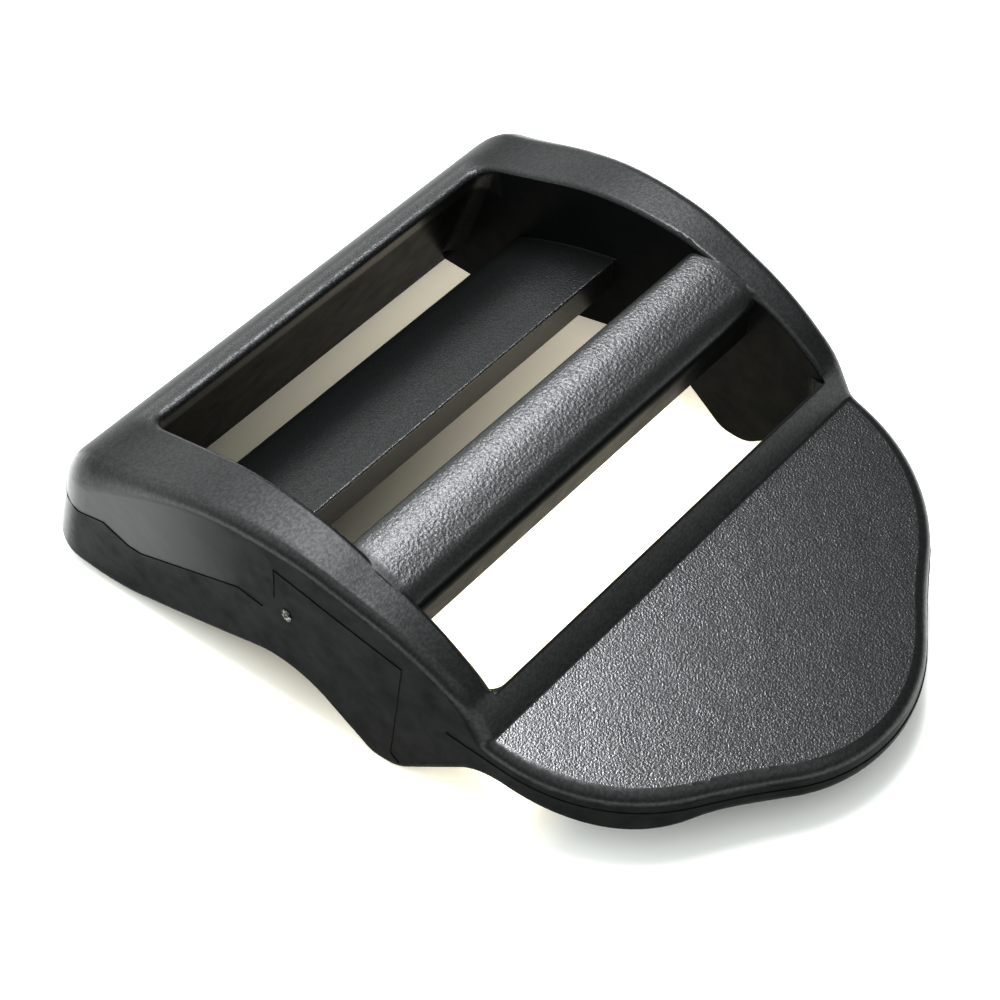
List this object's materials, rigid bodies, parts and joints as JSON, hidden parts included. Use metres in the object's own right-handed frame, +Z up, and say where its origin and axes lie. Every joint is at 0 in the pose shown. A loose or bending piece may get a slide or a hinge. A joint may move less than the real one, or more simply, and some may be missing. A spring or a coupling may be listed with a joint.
{
  "type": "ladder lock buckle slider",
  "caption": "One-piece moulded strap adjuster: an arched frame with a cross bar for a sewn webbing loop, a grip bar that bites the free webbing, and a thumb tab that lifts it to slacken.",
  "frame": {"origin": "on the plane the buckle stands on, midway between the tip of the thumb tab and the back of the rear foot, on the plane of symmetry", "axes": "+X across the buckle along its slots, +Y from the thumb tab towards the rear foot, +Z up from the flat underside to the arched top"},
  "size_m": [0.0568, 0.0724, 0.0214],
  "materials": {
    "black_acetal": "black injection-moulded acetal: fine spark-eroded grain on the tab, bars and rim, smoother walls"
  },
  "bodies": {
    "root": {"ladder_lock_buckle": "black_acetal"}
  },
  "joints": []
}
